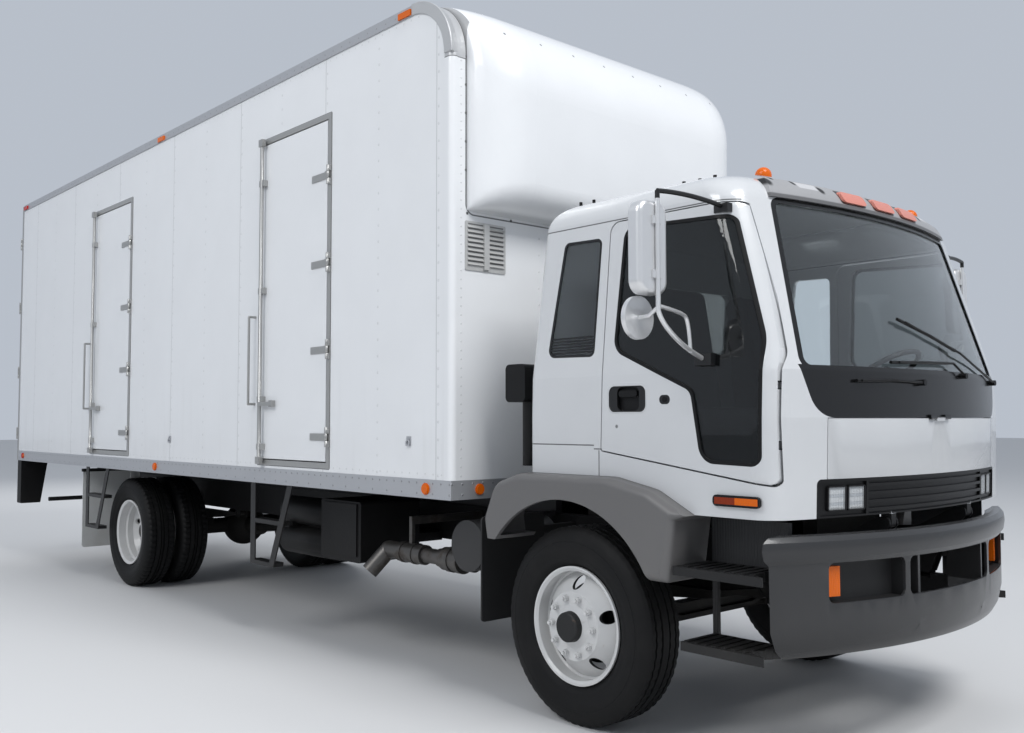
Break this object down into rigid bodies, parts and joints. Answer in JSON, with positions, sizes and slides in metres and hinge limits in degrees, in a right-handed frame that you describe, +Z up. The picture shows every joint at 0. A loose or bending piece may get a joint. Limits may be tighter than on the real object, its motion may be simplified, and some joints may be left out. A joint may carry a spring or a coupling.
{
  "type": "box truck",
  "caption": "White box truck with a tilting cab over the engine, a ladder frame with steered and twin wheels, and a long van body with hinged side and rear doors.",
  "frame": {"origin": "on the ground, midway along the truck and on its centre line", "axes": "+X to the front of the truck, +Y to its left side, +Z up"},
  "size_m": [10.3598, 3.19, 4.0499],
  "materials": {
    "cab_white": "gloss",
    "box_white": "satin",
    "nose_white": "satin",
    "wheel_white": "satin",
    "aluminium": "satin",
    "cast_grey": "cast",
    "steel_zinc": "satin",
    "stainless": "bright",
    "black_frame": "satin",
    "black_steps": "satin",
    "black_trim": "textured",
    "grey_trim": "satin",
    "flap_white": "matt",
    "iron": "rough",
    "exhaust_steel": "weathered",
    "tyre": "rubber",
    "glass": "clear, slightly green",
    "lamp_clear": "clear lens",
    "lamp_amber": "tinted lens",
    "dash_grey": "matt",
    "seat_cloth": "woven",
    "floor_wood": "varnished"
  },
  "bodies": {
    "chassis": {"frame_rails": "black_frame", "front_axle": "iron", "leaf_springs": "iron", "rear_axle": "iron", "powertrain": "iron", "exhaust": "exhaust_steel", "fuel_tank": "aluminium", "battery_box": "black_frame", "rear_bumper": "black_frame", "mud_flaps": "flap_white", "steps": "black_steps", "front_bumper": "grey_trim", "box_floor": "floor_wood", "box_front_wall": "box_white", "box_right_wall": "box_white", "box_left_wall": "box_white", "box_roof": "box_white", "body_rails": "aluminium", "corner_caps": "cast_grey", "side_door_frames": "aluminium", "box_nose": "nose_white", "rear_frame": "aluminium", "marker_lamps": "lamp_amber"},
    "cab": {"cab_shell": "cab_white", "cab_glass": "glass", "cowl_panel": "black_trim", "grille": "black_trim", "headlamps": "lamp_clear", "arch_flares": "grey_trim", "roof_garnish": "grey_trim", "cab_lamps": "lamp_amber", "wipers": "black_trim", "dashboard": "dash_grey", "seats": "seat_cloth", "air_intake": "black_trim"},
    "front_lid": {"front_lid": "cab_white"},
    "cab_door_left": {"cab_door_left": "cab_white", "door_glass_left": "glass", "door_trim_left": "black_trim", "mirror_left": "stainless"},
    "rear_door_left": {"rear_door_left": "box_white"},
    "knuckle_left": {"knuckle_left": "iron"},
    "front_wheel_left": {"front_tyre_left": "tyre", "front_rim_left": "wheel_white"},
    "rear_wheel_left": {"rear_tyres_left": "tyre", "rear_rims_left": "wheel_white"},
    "cab_door_right": {"cab_door_right": "cab_white", "door_glass_right": "glass", "door_trim_right": "black_trim", "mirror_right": "stainless"},
    "rear_door_right": {"rear_door_right": "box_white"},
    "knuckle_right": {"knuckle_right": "iron"},
    "front_wheel_right": {"front_tyre_right": "tyre", "front_rim_right": "wheel_white"},
    "rear_wheel_right": {"rear_tyres_right": "tyre", "rear_rims_right": "wheel_white"},
    "side_door_front": {"side_door_front": "box_white"},
    "side_door_rear": {"side_door_rear": "box_white"},
    "tie_rod": {"tie_rod": "iron"}
  },
  "joints": [
    {"name": "cab_tilt", "type": "hinge", "parent": "chassis", "child": "cab", "pos_m": [5.02, 0, 1.065], "axis": [0, 1, 0], "range_deg": [0, 45]},
    {"name": "front_lid_hinge", "type": "hinge", "parent": "cab", "child": "front_lid", "pos_m": [5.092, 0, 1.548], "axis": [0, -1, 0], "range_deg": [0, 70]},
    {"name": "cab_door_left_hinge", "type": "hinge", "parent": "cab", "child": "cab_door_left", "pos_m": [4.88, 1.095, 1.8], "axis": [0, 0, -1], "range_deg": [0, 70]},
    {"name": "cab_door_right_hinge", "type": "hinge", "parent": "cab", "child": "cab_door_right", "pos_m": [4.88, -1.095, 1.8], "axis": [0, 0, 1], "range_deg": [0, 70]},
    {"name": "side_door_front_hinge", "type": "hinge", "parent": "chassis", "child": "side_door_front", "pos_m": [1.601, -1.312, 2.4], "axis": [0, 0, 1], "range_deg": [0, 170]},
    {"name": "side_door_rear_hinge", "type": "hinge", "parent": "chassis", "child": "side_door_rear", "pos_m": [-1.814, -1.312, 2.4], "axis": [0, 0, 1], "range_deg": [0, 170]},
    {"name": "rear_door_left_hinge", "type": "hinge", "parent": "chassis", "child": "rear_door_left", "pos_m": [-5.15, 1.293, 2.5], "axis": [0, 0, -1], "range_deg": [0, 250]},
    {"name": "rear_door_right_hinge", "type": "hinge", "parent": "chassis", "child": "rear_door_right", "pos_m": [-5.15, -1.293, 2.5], "axis": [0, 0, 1], "range_deg": [0, 250]},
    {"name": "steer_left", "type": "hinge", "parent": "chassis", "child": "knuckle_left", "pos_m": [3.72, 0.82, 0.5], "axis": [0, 0, 1], "range_deg": [-40, 40]},
    {"name": "front_wheel_left_spin", "type": "hinge", "parent": "knuckle_left", "child": "front_wheel_left", "pos_m": [3.72, 1.033, 0.5], "axis": [0, 1, 0], "continuous": true},
    {"name": "rear_wheel_left_spin", "type": "hinge", "parent": "chassis", "child": "rear_wheel_left", "pos_m": [-2.1, 0.883, 0.5], "axis": [0, 1, 0], "continuous": true},
    {"name": "steer_right", "type": "hinge", "parent": "chassis", "child": "knuckle_right", "pos_m": [3.72, -0.82, 0.5], "axis": [0, 0, 1], "range_deg": [-40, 40]},
    {"name": "front_wheel_right_spin", "type": "hinge", "parent": "knuckle_right", "child": "front_wheel_right", "pos_m": [3.72, -1.033, 0.5], "axis": [0, 1, 0], "continuous": true},
    {"name": "rear_wheel_right_spin", "type": "hinge", "parent": "chassis", "child": "rear_wheel_right", "pos_m": [-2.1, -0.883, 0.5], "axis": [0, 1, 0], "continuous": true},
    {"name": "tie_rod_swing", "type": "hinge", "parent": "knuckle_left", "child": "tie_rod", "pos_m": [3.52, 0.82, 0.405], "axis": [0, 0, 1], "range_deg": [-40, 40]}
  ],
  "couplings": [
    {"joint": "steer_right", "follows": "steer_left", "ratio": 1},
    {"joint": "tie_rod_swing", "follows": "steer_left", "ratio": -1}
  ]
}
